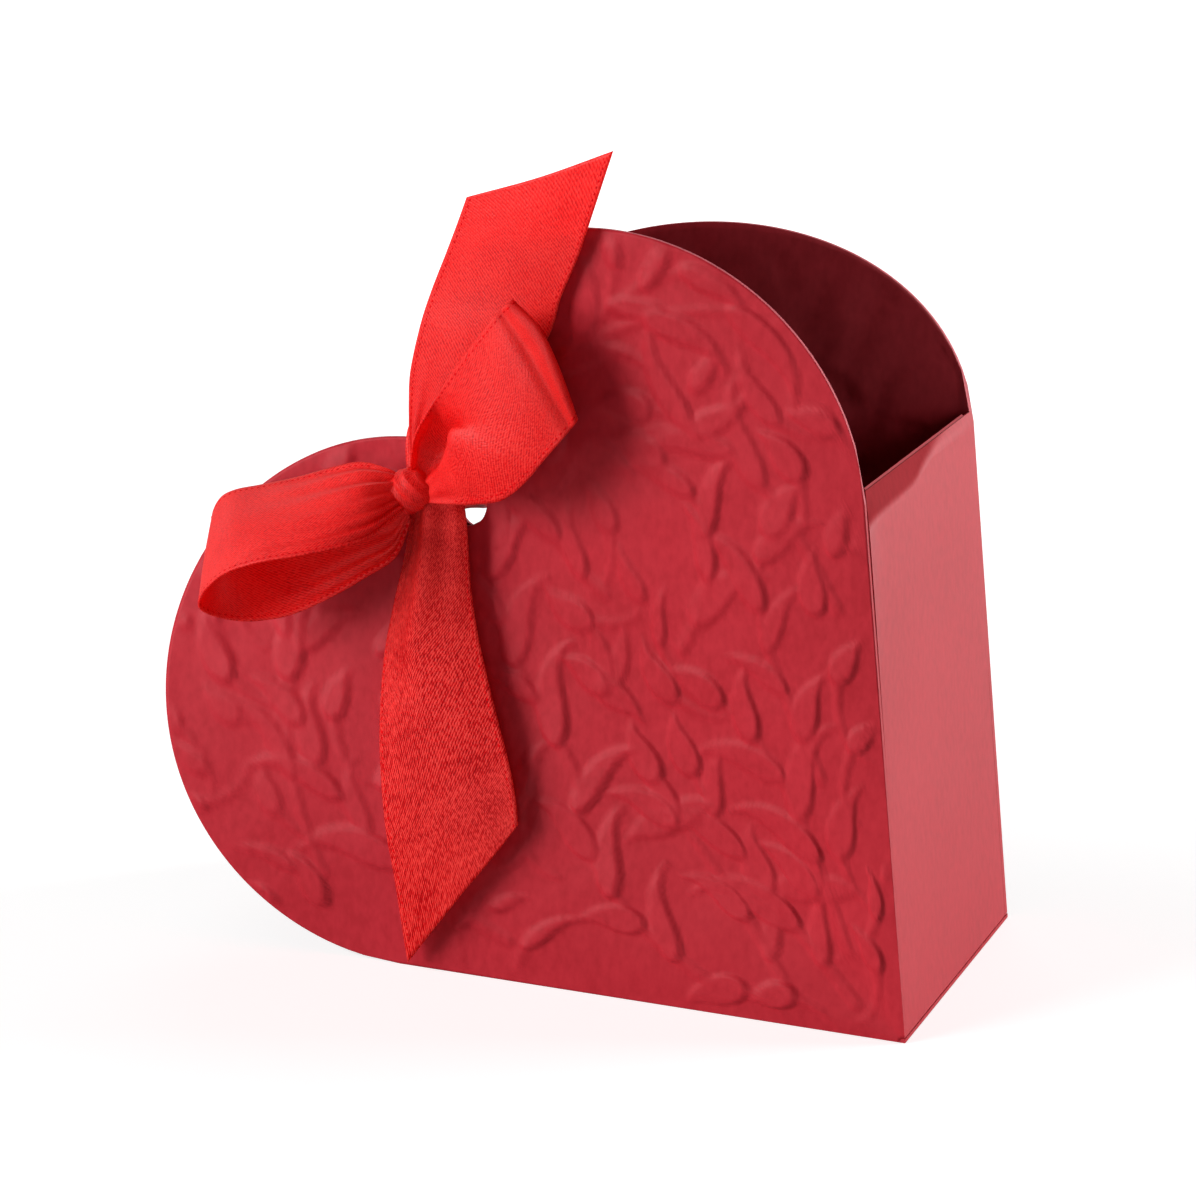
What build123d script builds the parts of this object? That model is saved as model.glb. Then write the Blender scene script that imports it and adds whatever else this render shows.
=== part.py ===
# Valentine heart box: a folded card heart tied at its cleft with a satin bow.
# Millimetres. X runs along the base, Y from front to back, Z up.
# The origin is the middle of the base wall's underside.
import os
from math import atan2, cos, degrees, hypot, radians, sin, tan

from build123d import *

os.makedirs("parts", exist_ok=True)

# Card box
side_length = 50.0  # straight sides of the heart, and flat length of both walls
point_angle = 83.5  # degrees between the two straight sides
lobe_radius = 25.05  # front lobes
back_lobe_share = 0.906  # of the front lobes: the back ones reach less far because the panel is bent more
lobe_join_angle = 100.0  # degrees, where the upper lobe tightens towards the cleft
box_depth = 35.2  # outside, front to back
card = 0.4
crease_gap = 0.15  # between panels that meet at a crease or a glued seam
front_pinch = 5.0  # how far the front panel is drawn back at the cleft
cleft_gap = 2.4  # room left between the panels at the cleft
front_bend_power = 3.0
back_bend_power = 1.0
bend_strips = 26  # flat strips that make up the bend
bend_margin_angle = 4.0  # degrees of spare sheet outside the creases
point_nick = 0.5  # cut away at the heart's point

# Punched tie holes, near the cleft; the back panel is bent more, which brings its hole lower
hole_diameter = 4.6
hole_margin = 1.53  # from each hole to the back panel's cleft
back_hole_margin = 2.4
hole_drop_angle = 0.56  # degrees, how far each hole lies below the line from the point to the cleft
back_hole_drop_angle = 2.4

# Walls and flaps
wall_lip = 1.2  # the wall's end, bent in along the lobe
flap_length = 10.0
flap_fold_angle = 142.0  # degrees that the flap is turned in from the lip
flap_taper_angle = 12.0
flap_room = 0.6  # beside a flap that swings
flap_swing_angle = 90.0
flap_swing_steps = 6
tab_width = 6.0
tab_trim = 3.0  # cut off at the ends of a glue tab

# Ribbon
ribbon_width = 12.7
ribbon_thickness = 0.6
strand_diameter = 1.8
strand_bend = 1.2
strand_sides = 8
knot_width = 4.0  # along the wrap's axis
knot_diameter = 3.8
knot_crown = 0.7  # how much the wrap bulges
knot_from_hole = 4.2
knot_over_hole = 1.4
knot_standoff = 3.2
ribbon_room = 0.3

back_lobe_radius = lobe_radius * back_lobe_share
half_side = side_length / 2
half_depth = box_depth / 2
point = (half_side, 0)
half_angle = radians(point_angle) / 2
crease_dir = (-cos(2 * half_angle), sin(2 * half_angle))
inward_dir = (-crease_dir[1], crease_dir[0])
fold_end = (point[0] + side_length * crease_dir[0], side_length * crease_dir[1])


def upper_centre(radius):
    return (fold_end[0] + radius * inward_dir[0], fold_end[1] + radius * inward_dir[1])


def cleft(radius):
    return (-half_side, 2 * radius)


def from_point(x, z):
    return hypot(x - point[0], z), atan2(z, point[0] - x)


back_pinch = box_depth - 2 * card - front_pinch - cleft_gap
cleft_reach = from_point(*cleft(lobe_radius))[0]
front_sheet = (-1, front_pinch, front_bend_power)
back_sheet = (1, back_pinch, back_bend_power)


# Depth of a bent panel: each ray from the heart's point is straight, and the pinch dies out at the creases
def sheet_y(sheet, inset, reach, angle):
    facing, pinch, power = sheet
    share = min(max(angle / (2 * half_angle), 0), 1)
    swell = sin(radians(180) * share) ** power if 0 < share < 1 else 0
    return facing * (half_depth - inset - pinch * swell * reach / cleft_reach)


def front_y(x, z):
    return sheet_y(front_sheet, 0, *from_point(x, z))


axis = Vector(-cos(half_angle), 0, sin(half_angle))
across = Vector(sin(half_angle), 0, cos(half_angle))
sheet_reach = side_length + 2 * lobe_radius


# A flat face with the given corners
def flat_face(*corners):
    return Face(Wire.make_polygon(corners))


# A slab of sheet between two insets from the panel's outer face, in flat strips from the heart's point
def bent_slab(sheet, outer_inset, inner_inset):
    margin = radians(bend_margin_angle)
    turn_step = (2 * half_angle + 2 * margin) / bend_strips
    angles = [-margin + turn_step * i for i in range(bend_strips + 1)]

    def row(distance, inset):
        origin = Vector(point[0], 0, point[1]) + axis * distance
        places = []
        for angle in angles:
            turn = angle - half_angle
            depth = sheet_y(sheet, inset, distance / cos(turn), angle)
            places.append(origin + across * (distance * tan(turn)) + Vector(0, depth, 0))
        return places

    near_outer, near_inner = row(point_nick, outer_inset), row(point_nick, inner_inset)
    far_outer, far_inner = row(sheet_reach, outer_inset), row(sheet_reach, inner_inset)
    faces = [flat_face(*near_outer, *reversed(near_inner)), flat_face(*far_outer, *reversed(far_inner))]
    for near, far in ((near_outer, far_outer), (near_inner, far_inner)):
        for i in range(bend_strips):
            faces.append(flat_face(near[i], near[i + 1], far[i + 1], far[i]))
    for i in (0, -1):
        faces.append(flat_face(near_outer[i], far_outer[i], far_inner[i], near_inner[i]))
    return Solid(Shell(faces))


# Heart outline: two straight sides, a round lower lobe, and an upper lobe of two tangent arcs
def heart_outline(radius):
    low_centre = (-half_side, radius)
    high_centre = upper_centre(radius)
    notch = cleft(radius)
    join = radians(lobe_join_angle)
    join_dir = (cos(join), sin(join))
    gap = (notch[0] - high_centre[0], notch[1] - high_centre[1])
    along = gap[0] * join_dir[0] + gap[1] * join_dir[1]
    shift = (radius**2 - hypot(*gap) ** 2) / (2 * (radius - along))
    tight_centre = (high_centre[0] + shift * join_dir[0], high_centre[1] + shift * join_dir[1])
    start = degrees(atan2(-inward_dir[1], -inward_dir[0]))
    finish = degrees(atan2(notch[1] - tight_centre[1], notch[0] - tight_centre[0])) % 360
    with BuildSketch(Plane.XZ) as outline:
        with BuildLine():
            Line(point, (-half_side, 0))
            CenterArc(low_centre, radius, 90, 180)
            CenterArc(tight_centre, radius - shift, lobe_join_angle, finish - lobe_join_angle)
            CenterArc(high_centre, radius, start, lobe_join_angle - start)
            Line(fold_end, point)
        make_face()
    return outline.sketch


def hole_place(margin, drop_angle):
    reach = from_point(*cleft(back_lobe_radius))[0] - margin - hole_diameter / 2
    angle = from_point(*cleft(lobe_radius))[1] - radians(drop_angle)
    return point[0] - reach * cos(angle), reach * sin(angle)


hole_x, hole_z = hole_place(hole_margin, hole_drop_angle)
back_hole_x, back_hole_z = hole_place(back_hole_margin, back_hole_drop_angle)
front_room = bent_slab(front_sheet, -box_depth, card + crease_gap)
back_room = bent_slab(back_sheet, -box_depth, card + crease_gap)
front_swing_room = bent_slab(front_sheet, -box_depth, card + flap_room)
back_swing_room = bent_slab(back_sheet, -box_depth, 2 * card + crease_gap + flap_room)

# Front panel
front_card = bent_slab(front_sheet, 0, card)
front_heart = heart_outline(lobe_radius)
with BuildPart() as front_panel:
    add(front_card)
    extrude(front_heart, amount=box_depth, both=True, mode=Mode.INTERSECT)
    with BuildSketch(Plane.XZ):
        with Locations((hole_x, hole_z)):
            Circle(hole_diameter / 2)
    extrude(amount=box_depth, both=True, mode=Mode.SUBTRACT)
front_panel.part.label = "front_panel"
export_step(front_panel.part, "parts/front_panel.step")

# Back panel
back_card = bent_slab(back_sheet, 0, card)
back_heart = heart_outline(back_lobe_radius)
with BuildPart() as back_panel:
    add(back_card)
    extrude(back_heart, amount=box_depth, both=True, mode=Mode.INTERSECT)
    with BuildSketch(Plane.XZ):
        with Locations((back_hole_x, back_hole_z)):
            Circle(hole_diameter / 2)
    extrude(amount=box_depth, both=True, mode=Mode.SUBTRACT)
back_panel.part.label = "back_panel"
export_step(back_panel.part, "parts/back_panel.step")

# Both walls: flat along the crease, then a lip bent in along the lobe, then the folded tuck flap.
# They are drawn along X with the lobe above, and the side wall is the same shape turned about the point.
lip_angle = degrees(wall_lip / lobe_radius)
lip_centre = (-half_side, lobe_radius)
lip_end_angle = 270 - lip_angle
crest = (
    lip_centre[0] + (lobe_radius - card / 2) * cos(radians(lip_end_angle)),
    lip_centre[1] + (lobe_radius - card / 2) * sin(radians(lip_end_angle)),
)


def wall_profile(first_z):
    with BuildSketch(Plane.XZ) as profile:
        with BuildLine():
            outer_lip = CenterArc(lip_centre, lobe_radius, lip_end_angle, lip_angle)
            inner_lip = CenterArc(lip_centre, lobe_radius - card, lip_end_angle, lip_angle)
            Line(outer_lip @ 0, inner_lip @ 0)
            Line(outer_lip @ 1, (point[0] - first_z, 0))
            Line(inner_lip @ 1, (point[0] - first_z, card))
            Line((point[0] - first_z, 0), (point[0] - first_z, card))
        make_face()
    return profile.sketch


# Tuck flap, folded in from the crest; its sides taper
flap_angle = -lip_angle + flap_fold_angle - 90
flap_dir = Vector(sin(radians(flap_angle)), 0, cos(radians(flap_angle)))
crease_axis = Axis((crest[0], 0, crest[1]), (0, 1, 0))
flap_start = Vector(crest[0], 0, crest[1]) + flap_dir * (2 * card + crease_gap)
flap_plane = Plane(origin=flap_start, x_dir=(0, 1, 0), z_dir=flap_dir.cross(Vector(0, 1, 0)))
flap_half_width = half_depth - card - flap_room
flap_end_half_width = flap_half_width - flap_length * tan(radians(flap_taper_angle))


def flap_outline():
    with BuildSketch(flap_plane) as outline:
        with BuildLine():
            Polyline(
                (-flap_half_width, 0),
                (flap_half_width, 0),
                (flap_end_half_width, -flap_length),
                (-flap_end_half_width, -flap_length),
                close=True,
            )
        make_face()
    return outline.sketch


# The heart's line of symmetry carries the base wall onto the side wall
mirror_plane = Plane(origin=(point[0], 0, point[1]), z_dir=across)

base_profile = wall_profile(0)
with BuildPart() as base_wall:
    extrude(base_profile, amount=half_depth, both=True)
    add(front_room, mode=Mode.SUBTRACT)
    add(back_room, mode=Mode.SUBTRACT)
base_wall.part.label = "base_wall"
export_step(base_wall.part, "parts/base_wall.step")

side_profile = wall_profile(card + crease_gap)
with BuildPart() as side_wall:
    extrude(side_profile, amount=half_depth, both=True)
    mirror(about=mirror_plane, mode=Mode.REPLACE)
    add(front_room, mode=Mode.SUBTRACT)
    add(back_room, mode=Mode.SUBTRACT)
side_wall.part.label = "side_wall"
export_step(side_wall.part, "parts/side_wall.step")

# The flaps are cut to clear both panels all the way through their swing
flap_sketch = flap_outline()
with BuildPart() as base_flap:
    extrude(flap_sketch, amount=card / 2, both=True)
    for i in range(flap_swing_steps + 1):
        for room in (front_swing_room, back_swing_room):
            add(room.rotate(crease_axis, flap_swing_angle * i / flap_swing_steps), mode=Mode.SUBTRACT)
base_flap.part.label = "base_flap"
export_step(base_flap.part, "parts/base_flap.step")

with BuildPart() as side_flap:
    add(base_flap.part)
    mirror(about=mirror_plane, mode=Mode.REPLACE)
side_flap.part.label = "side_flap"
export_step(side_flap.part, "parts/side_flap.step")

# Glue tab of the side wall, lying against the inside of the back panel
tab_inset = card + crease_gap
tab_sheet = bent_slab(back_sheet, tab_inset, tab_inset + card)
tab_edge = card + crease_gap
side_plane = Plane(origin=(point[0], 0, point[1]), x_dir=(crease_dir[0], 0, crease_dir[1]), z_dir=(0, -1, 0))
with BuildPart() as side_glue_tab:
    add(tab_sheet)
    with BuildSketch(side_plane):
        with BuildLine():
            Polyline(
                (tab_trim, tab_edge),
                (side_length - tab_trim, tab_edge),
                (side_length - 2 * tab_trim, tab_width),
                (2 * tab_trim, tab_width),
                close=True,
            )
        make_face()
    extrude(amount=box_depth, both=True, mode=Mode.INTERSECT)
side_glue_tab.part.label = "side_glue_tab"
export_step(side_glue_tab.part, "parts/side_glue_tab.step")

# Glue tab of the side wall, lying on the base wall at the heart's point
tab_level = card + crease_gap
corner_x = point[0] - 2 * card
with BuildPart() as corner_glue_tab:
    with BuildSketch(Plane.XY.offset(tab_level)):
        with BuildLine():
            Polyline(
                (corner_x, -half_depth + tab_trim),
                (corner_x, half_depth - 2 * tab_trim),
                (corner_x - tab_width, half_depth - 3 * tab_trim),
                (corner_x - tab_width, -half_depth + 2 * tab_trim),
                close=True,
            )
        make_face()
    extrude(amount=card)
corner_glue_tab.part.label = "corner_glue_tab"
export_step(corner_glue_tab.part, "parts/corner_glue_tab.step")

# Bow. The knot lies in front of the panel, between the hole and the cleft.
knot_x = hole_x - knot_from_hole
knot_z = hole_z + knot_over_hole
knot_y = front_y(knot_x, knot_z) - knot_standoff
knot_centre = Vector(knot_x, knot_y, knot_z)
knot_radius = knot_diameter / 2
knot_end_radius = knot_radius - knot_crown
with BuildPart() as ribbon_knot:
    with BuildSketch(Plane.XZ.offset(-knot_y)):
        with BuildLine():
            left_end = (knot_x - knot_width / 2, knot_z)
            right_end = (knot_x + knot_width / 2, knot_z)
            left_rim = (left_end[0], knot_z + knot_end_radius)
            right_rim = (right_end[0], knot_z + knot_end_radius)
            Line(left_end, left_rim)
            ThreePointArc(left_rim, (knot_x, knot_z + knot_radius), right_rim)
            Line(right_rim, right_end)
            Line(right_end, left_end)
        make_face()
    revolve(axis=Axis((knot_x, knot_y, knot_z), (1, 0, 0)))
ribbon_knot.part.label = "ribbon_knot"
export_step(ribbon_knot.part, "parts/ribbon_knot.step")

# Gathered strand: from the knot over the cleft, down behind the back panel, through both holes to the knot
strand_radius = strand_diameter / 2
strand_room = strand_radius + ribbon_room
notch_x = cleft(lobe_radius)[0] - strand_room - ribbon_room
notch_z = cleft(lobe_radius)[1] + strand_room + ribbon_room
notch_front_y = front_y(notch_x, notch_z) - strand_room - ribbon_room
hole_back_y = sheet_y(back_sheet, 0, *from_point(back_hole_x, back_hole_z)) + 2 * strand_room
strand_shift = (hole_diameter / 2 - strand_room) / 2
strand_points = [
    (knot_x - knot_width / 4, knot_y + knot_radius / 2, knot_z + knot_radius + strand_room),
    (notch_x, notch_front_y, notch_z),
    (notch_x, hole_back_y - strand_room, notch_z),
    (back_hole_x - strand_shift, hole_back_y, back_hole_z),
    (hole_x - strand_shift, knot_y + knot_radius / 2, hole_z),
    (knot_x + knot_width / 2 + ribbon_room, knot_y + knot_radius / 2, knot_z - knot_radius / 4),
]
with BuildPart() as ribbon_band:
    with BuildLine() as strand_path:
        FilletPolyline(*strand_points, radius=strand_bend)
    with BuildSketch(Plane(origin=strand_path.line @ 0, z_dir=strand_path.line % 0)):
        RegularPolygon(strand_radius, strand_sides)
    sweep()
ribbon_band.part.label = "ribbon_band"
export_step(ribbon_band.part, "parts/ribbon_band.step")


# A loop: a bent strip in profile, cut to the petal shape that the gathered ribbon has seen face on
def loop_solid(length_dir, width_dir, length, gap, lift, profile_shares, petal_shares):
    wide = width_dir.normalized()
    long = (length_dir - wide * length_dir.dot(wide)).normalized()
    out = long.cross(wide)
    origin = knot_centre - Vector(0, lift, 0)
    with BuildPart() as loop:
        with BuildSketch(Plane(origin=origin, x_dir=long, z_dir=-wide)):
            with BuildLine():
                places = [(length * s, gap * g) for s, g in profile_shares]
                bend = Line(places[0], places[1])
                for start, finish in zip(places[1:], places[2:]):
                    bend = TangentArc(start, finish, tangent=bend % 1)
            trace(line_width=ribbon_thickness)
        extrude(amount=2 * ribbon_width, both=True)
        with BuildSketch(Plane(origin=origin, x_dir=long, z_dir=out)):
            with BuildLine():
                Polyline(*[(length * s, ribbon_width * w) for s, w in petal_shares], close=True)
            make_face()
        extrude(amount=2 * ribbon_width, both=True, mode=Mode.INTERSECT)
    return loop.part


# Left loop, a round loop that opens downwards and to the front
left_loop_length = 20.5
left_loop_gap = 7.0
left_loop_lift = 1.2
left_loop_dir = Vector(-0.907, -0.233, -0.354)
left_width_dir = Vector(0.12, -0.74, -0.66)
left_profile_shares = [
    (0.115, 0.06),
    (0.35, 0.62),
    (0.68, 0.95),
    (0.95, 0.72),
    (0.98, 0.32),
    (0.75, 0.02),
    (0.42, -0.06),
    (0.115, -0.06),
]
left_petal_shares = [
    (0.0, -0.1),
    (0.24, -0.16),
    (0.5, -0.2),
    (1.05, 0.0),
    (1.05, 1.0),
    (0.5, 0.75),
    (0.22, 0.36),
    (0.0, 0.1),
]
left_loop_parts = (left_loop_dir, left_width_dir, left_loop_length, left_loop_gap, left_loop_lift)
left_loop = loop_solid(*left_loop_parts, left_profile_shares, left_petal_shares)
with BuildPart() as ribbon_left_loop:
    add(left_loop)
ribbon_left_loop.part.label = "ribbon_left_loop"
export_step(ribbon_left_loop.part, "parts/ribbon_left_loop.step")

# Right loop, flattened, with its broad side to the front
right_loop_length = 20.5
right_loop_gap = 3.4
right_loop_lift = 2.2
right_loop_dir = Vector(0.696, -0.229, 0.678)
right_width_dir = Vector(-0.56, 0.08, 0.82)
right_profile_shares = [
    (0.06, 0.15),
    (0.3, 0.75),
    (0.65, 1.0),
    (0.94, 0.85),
    (1.0, 0.5),
    (0.94, 0.15),
    (0.6, 0.0),
    (0.06, -0.15),
]
right_petal_shares = [
    (0.0, 0.1),
    (0.2, 0.25),
    (0.47, 0.48),
    (1.06, 0.75),
    (1.06, -0.24),
    (0.68, -0.4),
    (0.42, -0.4),
    (0.15, -0.2),
    (0.0, -0.1),
]
right_loop_parts = (right_loop_dir, right_width_dir, right_loop_length, right_loop_gap, right_loop_lift)
right_loop = loop_solid(*right_loop_parts, right_profile_shares, right_petal_shares)
with BuildPart() as ribbon_right_loop:
    add(right_loop)
ribbon_right_loop.part.label = "ribbon_right_loop"
export_step(ribbon_right_loop.part, "parts/ribbon_right_loop.step")


# A tail: crowned strips lofted from the knot to a slanting cut.
# Each station gives, as shares: place along the tail, sway, standoff from the panel, width, crown.
crown_shares = [-1, -0.6, -0.2, 0.2, 0.6, 1]


def tail_solid(direction, length, cut_slope, stations):
    side = Vector(0, -1, 0).cross(direction)
    with BuildPart() as tail:
        for along_share, sway_share, standoff_share, width_share, crown_share in stations:
            place = knot_centre + direction * (length * along_share) + side * (ribbon_width * sway_share)
            place = Vector(place.X, front_y(place.X, place.Z) - knot_standoff * standoff_share, place.Z)
            half = ribbon_width * width_share / 2
            crown = ribbon_width * crown_share
            outer = [(half * s, crown * (1 - s**2)) for s in crown_shares]
            inner = [(x, y - ribbon_thickness) for x, y in reversed(outer)]
            with BuildSketch(Plane(origin=place, x_dir=side, z_dir=direction)):
                with BuildLine():
                    Polyline(*outer, *inner, close=True)
                make_face()
        loft(ruled=True)
        end = knot_centre + direction * (length - cut_slope / 2) + side * (ribbon_width * stations[-1][1])
        cut_normal = side * cut_slope + direction * ribbon_width
        split(bisect_by=Plane(origin=end, z_dir=cut_normal), keep=Keep.BOTTOM)
    return tail.part


# Lower tail, hanging in front of the panel
lower_tail_length = 45.6
lower_cut_slope = 14.0
lower_lean_angle = 6.0
lower_dir = Vector(sin(radians(lower_lean_angle)), 0, -cos(radians(lower_lean_angle)))
lower_station_shares = [
    (0.05, 0.03, 0.85, 0.2, 0.02),
    (0.105, 0.1, 0.72, 0.45, 0.05),
    (0.185, 0.13, 0.62, 0.57, 0.06),
    (0.35, 0.095, 0.5, 0.83, 0.06),
    (0.51, 0.12, 0.42, 1.0, 0.06),
    (0.74, 0.17, 0.38, 1.0, 0.05),
    (1.04, 0.25, 0.36, 1.0, 0.04),
]
lower_tail = tail_solid(lower_dir, lower_tail_length, lower_cut_slope, lower_station_shares)
with BuildPart() as ribbon_lower_tail:
    add(lower_tail)
ribbon_lower_tail.part.label = "ribbon_lower_tail"
export_step(ribbon_lower_tail.part, "parts/ribbon_lower_tail.step")

# Upper tail, standing up past the upper lobe
upper_tail_length = 38.8
upper_cut_slope = 10.9
upper_lean_angle = 23.0
upper_dir = Vector(sin(radians(upper_lean_angle)), 0, cos(radians(upper_lean_angle)))
upper_station_shares = [
    (0.062, 0.0, 1.26, 0.2, 0.02),
    (0.193, -0.02, 1.28, 0.55, 0.03),
    (0.325, -0.04, 1.0, 0.82, 0.04),
    (0.515, -0.04, 0.64, 1.0, 0.04),
    (0.773, -0.04, 0.55, 1.0, 0.05),
    (1.04, -0.04, 0.55, 1.0, 0.05),
]
upper_tail = tail_solid(upper_dir, upper_tail_length, upper_cut_slope, upper_station_shares)
with BuildPart() as ribbon_upper_tail:
    add(upper_tail)
ribbon_upper_tail.part.label = "ribbon_upper_tail"
export_step(ribbon_upper_tail.part, "parts/ribbon_upper_tail.step")
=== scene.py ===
import math
import random

import bmesh
import bpy
import numpy as np
from mathutils import Matrix, Vector


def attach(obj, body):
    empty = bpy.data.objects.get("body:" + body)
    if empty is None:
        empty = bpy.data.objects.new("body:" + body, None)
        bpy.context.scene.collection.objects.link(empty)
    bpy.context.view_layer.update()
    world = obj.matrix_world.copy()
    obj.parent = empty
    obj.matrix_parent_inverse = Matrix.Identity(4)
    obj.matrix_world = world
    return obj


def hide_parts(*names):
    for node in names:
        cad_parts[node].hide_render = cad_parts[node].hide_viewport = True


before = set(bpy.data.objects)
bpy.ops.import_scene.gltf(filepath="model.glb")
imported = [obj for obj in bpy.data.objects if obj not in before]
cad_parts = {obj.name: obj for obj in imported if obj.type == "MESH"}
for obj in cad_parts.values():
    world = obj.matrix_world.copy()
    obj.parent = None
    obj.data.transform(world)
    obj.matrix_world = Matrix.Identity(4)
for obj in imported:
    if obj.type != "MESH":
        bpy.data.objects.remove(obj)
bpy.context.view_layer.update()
scene = bpy.context.scene
scene.view_settings.view_transform = "Standard"
mm = 0.001

# the box, in mm, as the card blank is cut and bent
heart = {"side": 50.0, "pointAngle": math.radians(83.5), "depth": 35.2, "card": 0.4,
         "frontRadius": 25.05, "backRadius": 22.695, "joinAngle": math.radians(100),
         "frontPinch": 5.0, "backPinch": 27.0, "frontPower": 3.0, "backPower": 1.0,
         "pointNick": 0.5, "frontHole": (-20.44, 44.65), "backHole": (-21.21, 42.57), "holeRadius": 2.3,
         "frontFold": 0.13, "backFold": 0.42, "frontMesh": (290, 210), "backMesh": (270, 200)}
halfSide, halfDepth = heart["side"] / 2, heart["depth"] / 2
cleftReach = math.hypot(heart["side"], 2 * heart["frontRadius"])

# camera, from the photo's vanishing lines
view = {"place": (113.58, -331.58, 133.99), "right": (0.93332, 0.35870, 0.01611),
        "up": (-0.11276, 0.25020, 0.96161), "ahead": (-0.34089, 0.89930, -0.27396),
        "focalPixels": 3860.47, "imageSize": 1196, "sensor": 36.0, "clip": (0.01, 20.0), "sightSteps": 40}


def addObject(name, data):
    piece = bpy.data.objects.new(name, data)
    scene.collection.objects.link(piece)
    return piece


def makeCamera():
    data = bpy.data.cameras.new("camera")
    data.sensor_width = view["sensor"]
    data.lens = view["focalPixels"] / view["imageSize"] * view["sensor"]
    data.clip_start, data.clip_end = view["clip"]
    camera = addObject("camera", data)
    turn = Matrix([view["right"], view["up"], -Vector(view["ahead"])]).transposed().to_4x4()
    camera.matrix_world = Matrix.Translation(Vector(view["place"]) * mm) @ turn
    scene.camera = camera


makeCamera()
print("camera set")


def frontY(x, z):
    reach, angle = np.hypot(x - halfSide, z), np.arctan2(z, halfSide - x)
    share = np.clip(angle / heart["pointAngle"], 0, 1)
    swell = np.sin(np.pi * share) ** heart["frontPower"]
    return -(halfDepth - heart["frontPinch"] * swell * reach / cleftReach)


# where the sight line through a photo pixel comes to a given distance in front of the front panel
def spot(px, py, off):
    eye = np.array(view["place"])
    half, focal = view["imageSize"] / 2, view["focalPixels"]
    ray = (np.array(view["ahead"]) + np.array(view["right"]) * (px - half) / focal
           - np.array(view["up"]) * (py - half) / focal)
    y = -halfDepth
    for _ in range(view["sightSteps"]):
        place = eye + ray * (y - eye[1]) / ray[1]
        y = 0.5 * y + 0.5 * (frontY(place[0], place[2]) - off)
    return eye + ray * (y - eye[1]) / ray[1]


def addMesh(name, points, faces, smooth=True):
    mesh = bpy.data.meshes.new(name)
    mesh.from_pydata([tuple(p * mm) for p in points], [], faces)
    mesh.validate()
    mesh.update()
    if smooth:
        mesh.polygons.foreach_set("use_smooth", [True] * len(mesh.polygons))
    return addObject(name, mesh)


# faces of a grid of corners, numbered row by row
def gridFaces(rows, columns):
    index = np.arange(rows * columns).reshape(rows, columns)
    faces = np.stack([index[:-1, :-1], index[:-1, 1:], index[1:, 1:], index[1:, :-1]], 2)
    return [tuple(f) for f in faces.reshape(-1, 4)]


# length of a line of places up to each of them
def travelledAlong(line):
    return np.concatenate([[0], np.cumsum(np.linalg.norm(np.diff(line, axis=0), axis=1))])


def thicken(piece, thickness, offset):
    thick = piece.modifiers.new("thickness", "SOLIDIFY")
    thick.thickness = thickness * mm
    thick.offset = offset


# places on the flat cloth, in mm, for the weave
def setWeave(mesh, flat):
    uv = mesh.uv_layers.new(name="weave")
    corner = np.zeros(len(mesh.loops), int)
    mesh.loops.foreach_get("vertex_index", corner)
    uv.data.foreach_set("uv", flat[corner].ravel())


def newMaterial(name):
    material = bpy.data.materials.new(name)
    material.use_nodes = True
    tree = material.node_tree
    return material, tree, tree.nodes["Principled BSDF"]


# each input gets a link or a value; it is named, or numbered as i0, i1 and so on
def setInputs(tree, node, inputs):
    for key, value in inputs.items():
        socket = node.inputs[int(key[1:])] if key[0] == "i" and key[1:].isdigit() else node.inputs[key]
        if isinstance(value, bpy.types.NodeSocket):
            tree.links.new(value, socket)
        else:
            socket.default_value = value


def addNode(tree, kind, settings=None, **inputs):
    node = tree.nodes.new(kind)
    for key, value in (settings or {}).items():
        setattr(node, key, value)
    setInputs(tree, node, inputs)
    return node


def maths(tree, operation, *values):
    inputs = {"i%d" % k: value for k, value in enumerate(values)}
    return addNode(tree, "ShaderNodeMath", {"operation": operation}, **inputs).outputs[0]


def noise(tree, vector, scale, detail, settings=None):
    node = addNode(tree, "ShaderNodeTexNoise", settings, Vector=vector, Scale=scale, Detail=detail)
    return node.outputs["Fac"]


def ramp(tree, factor, positions, colors):
    node = addNode(tree, "ShaderNodeValToRGB", Fac=factor)
    elements = node.color_ramp.elements
    while len(elements) < len(positions):
        elements.new(0.5)
    for element, position, color in zip(elements, positions, colors):
        element.position = position
        element.color = (*color, 1)
    return node.outputs["Color"]


# card: crimson with a pearl bloom, fine fibre grain
cardLook = {"color": (0.42, 0.017, 0.028), "pale": (0.46, 0.021, 0.033), "deep": (0.37, 0.013, 0.022),
            "stops": (0.35, 0.5, 0.66), "grainScale": 2600.0, "grainDetail": 3.0, "grainHeight": 0.000012,
            "grainStrength": 0.35, "cloudScale": 40.0, "cloudDetail": 4.0,
            "fibreScale": (1500.0, 1500.0, 900.0), "fibreDetail": 2.0, "roughness": 0.5,
            "sheen": {"Sheen Weight": 0.02, "Sheen Roughness": 0.4, "Sheen Tint": (1.0, 0.55, 0.55, 1)}}
cutEdge = {"colors": ((0.4264, 0.0615, 0.0779), (0.52, 0.075, 0.095)), "stops": (0.3, 0.7), "scale": 3200.0,
           "detail": 2.0, "shader": {"Roughness": 0.75}}

# side wall's top: a bend climbs from the front nick to the back corner; above it the wall leans back in, and
# its colour is darkened there as painted shade, with a rough finish
bend = {"front": -17.6, "back": 17.6, "low": 46.0, "high": 52.0, "soft": 0.7, "facetShade": (0.66, 0.5, 0.5),
        "roughness": 1.0,
        "line": [(0.0, 0.1), (0.05, 0.32), (0.16, 0.363), (0.31, 0.387), (0.39, 0.427), (0.465, 0.555),
                 (0.6, 0.72), (0.775, 0.83), (1.0, 0.9)]}


# share of the side wall's top that gets the painted shade, rising across the bend line
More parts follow.
